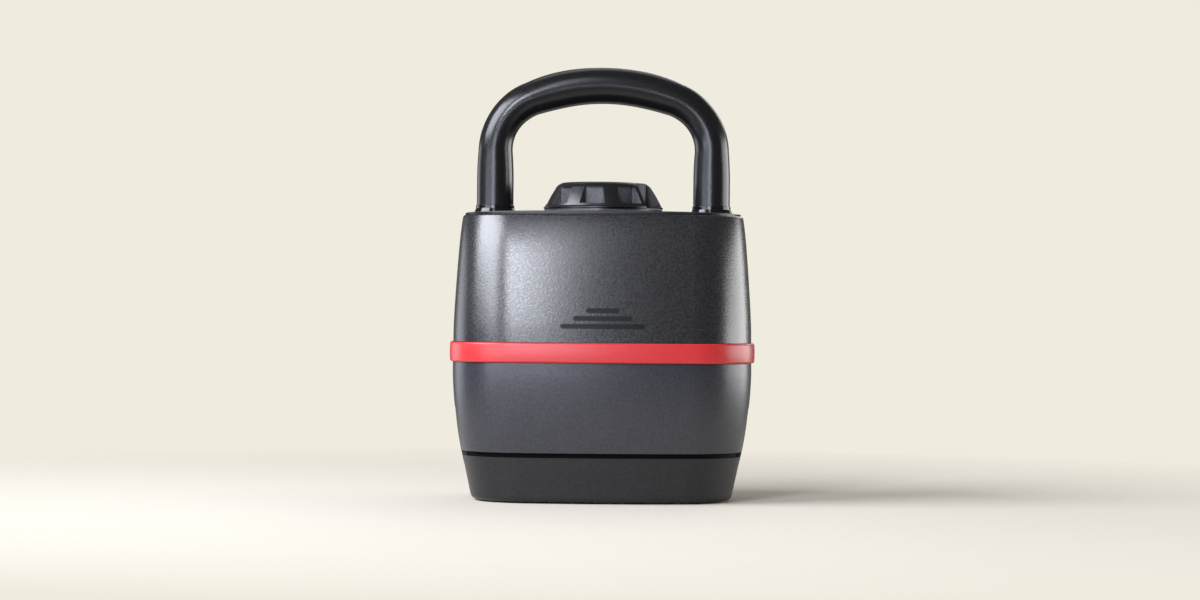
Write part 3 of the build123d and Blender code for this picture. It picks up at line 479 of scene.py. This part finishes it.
# ------------------------------------------------------------------ floor and light
# in metres and watts
FLOOR_COLOR, FLOOR_ROUGHNESS = (0.53, 0.495, 0.42), 0.9
FLOOR_RADIUS, FLOOR_SIDES = 3.0, 96
FADE_FROM, FADE_TO = 0.3, 0.8  # the floor is solid out to the first and gone at the second
AIM = (0, 0, 0.15)  # what the lights point at
COOL_LIGHT = (0.88, 0.905, 1.0)
LOW_LIGHT = (0.8, 0.85, 1.0)
WHITE_LIGHT = (1, 1, 1)
BACKDROP = (0.863, 0.831, 0.738, 1)
FILL = 0.16  # strength of the backdrop's own light; the camera sees it at 1

# name, place (azimuth, elevation, distance), width, height, power, colour
LIGHTS = (
    ("spot_left", (-20, 27, 2.2), 0.36, 0.6, 23, COOL_LIGHT),  # sheen on the left of the upper shell
    ("strip_front", (-12, 40, 2.2), 0.3, 0.9, 5, COOL_LIGHT),  # tail of that sheen to the right
    ("side_left", (-67, 33, 2.0), 1.6, 1.1, 84, COOL_LIGHT),  # key: left corner, handle and floor
    ("rim_left", (-125, 0, 2.0), 1.0, 0.7, 5, COOL_LIGHT),  # left edge
    ("low_left", (-44, 0, 2.0), 1.3, 0.3, 11, LOW_LIGHT),  # left of the lower shell
    ("low_front", (-14, 3, 2.0), 0.7, 0.4, 11, LOW_LIGHT),  # front of the lower shell
    ("rim_right", (103, 4, 1.8), 1.9, 0.75, 25, WHITE_LIGHT),  # right edge and handle
    ("back_fill", (160, 28, 2.2), 1.6, 1.0, 12, WHITE_LIGHT),  # the back
    ("top_back", (180, 60, 1.9), 1.2, 0.8, 3, WHITE_LIGHT),  # the deck and the dial's top
)


def stage_floor():
    """A pale round floor that fades into the backdrop colour far from the object."""
    mesh = bpy.data.meshes.new("floor")
    turns = [2 * math.pi * i / FLOOR_SIDES for i in range(FLOOR_SIDES)]
    rim = [(FLOOR_RADIUS * math.cos(turn), FLOOR_RADIUS * math.sin(turn), 0) for turn in turns]
    mesh.from_pydata(rim, [], [tuple(range(FLOOR_SIDES))])
    obj = bpy.data.objects.new("floor", mesh)
    scene.collection.objects.link(obj)
    mat, tree, shader, coords = new_material("floor_pale", FLOOR_COLOR, FLOOR_ROUGHNESS)
    length = tree.nodes.new("ShaderNodeVectorMath")
    length.operation = "LENGTH"
    tree.links.new(coords.outputs["Object"], length.inputs[0])
    fade = spread(tree, length.outputs["Value"], 1.0, 0.0, FADE_FROM, FADE_TO)
    tree.links.new(fade, shader.inputs["Alpha"])
    obj.data.materials.append(mat)
    return obj


def around(azimuth, elevation, distance):
    """A place round the object: azimuth 0 is the camera's side and grows to the right."""
    a, e = math.radians(azimuth), math.radians(elevation)
    return (
        AIM[0] + distance * math.cos(e) * math.sin(a),
        AIM[1] - distance * math.cos(e) * math.cos(a),
        AIM[2] + distance * math.sin(e),
    )


def area(name, place, width, height, power, color):
    """A rectangular light that points at AIM and that the camera doesn't see."""
    data = bpy.data.lights.new(name, "AREA")
    data.shape = "RECTANGLE"
    data.size = width
    data.size_y = height
    data.energy = power
    data.color = color
    obj = bpy.data.objects.new(name, data)
    scene.collection.objects.link(obj)
    obj.location = place
    obj.rotation_euler = (Vector(AIM) - obj.location).to_track_quat("-Z", "Y").to_euler()
    obj.visible_camera = False


floor = stage_floor()
for name, place, width, height, power, color in LIGHTS:
    area(name, around(*place), width, height, power, color)

world = bpy.data.worlds.new("studio")
world.use_nodes = True
wires = world.node_tree
background = wires.nodes["Background"]
background.inputs["Color"].default_value = BACKDROP
path = wires.nodes.new("ShaderNodeLightPath")
strength = wires.nodes.new("ShaderNodeMapRange")
strength.inputs["To Min"].default_value = FILL
strength.inputs["To Max"].default_value = 1.0
wires.links.new(path.outputs["Is Camera Ray"], strength.inputs["Value"])
wires.links.new(strength.outputs["Result"], background.inputs["Strength"])
scene.world = world
scene.view_settings.view_transform = "Standard"
